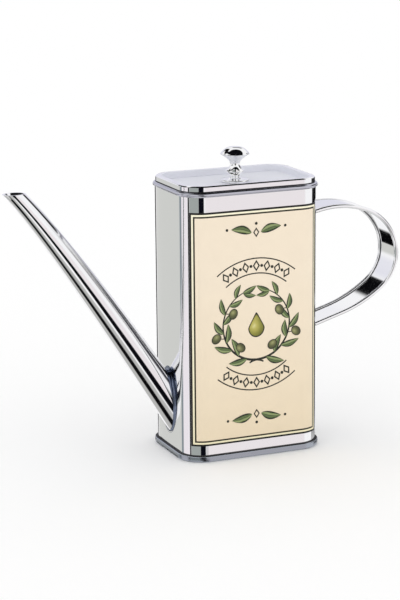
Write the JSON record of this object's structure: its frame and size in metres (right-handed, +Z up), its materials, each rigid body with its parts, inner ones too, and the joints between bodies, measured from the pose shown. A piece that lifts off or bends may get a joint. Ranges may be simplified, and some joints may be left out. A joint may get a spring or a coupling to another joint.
{
  "type": "olive oil can with pouring spout",
  "caption": "Rectangular polished steel oil can with a long slanted pouring spout, a strap handle and a lift-off plug lid with a turned knob.",
  "frame": {"origin": "middle of the can's foot, on the surface it stands on", "axes": "+Z up through the lid knob, -X towards the spout, +X towards the handle, -Y out of the labelled front"},
  "size_m": [0.2161, 0.0554, 0.1582],
  "materials": {
    "body_steel": "mirror-polished stainless steel sheet",
    "base_steel": "polished stainless steel, folded seam, satin underside",
    "spout_steel": "mirror-polished stainless steel tube",
    "handle_steel": "mirror-polished stainless steel strap",
    "label_print": "cream printed film with a satin varnish and fine dark border lines",
    "lid_steel": "mirror-polished stainless steel sheet",
    "skirt_steel": "satin stainless steel",
    "knob_steel": "mirror-polished turned steel",
    "screw_steel": "plain machined steel"
  },
  "bodies": {
    "can": {"body_shell": "body_steel", "base_plate": "base_steel", "spout_tube": "spout_steel", "handle_strap": "handle_steel", "front_label": "label_print"},
    "lid": {"lid_cap": "lid_steel", "lid_skirt": "skirt_steel", "lid_knob": "knob_steel", "knob_screw": "screw_steel", "knob_washer": "screw_steel"}
  },
  "joints": [
    {"name": "lid_lift", "type": "slide", "parent": "can", "child": "lid", "axis": [0, 0, 1], "range_m": [0, 0.06]}
  ]
}
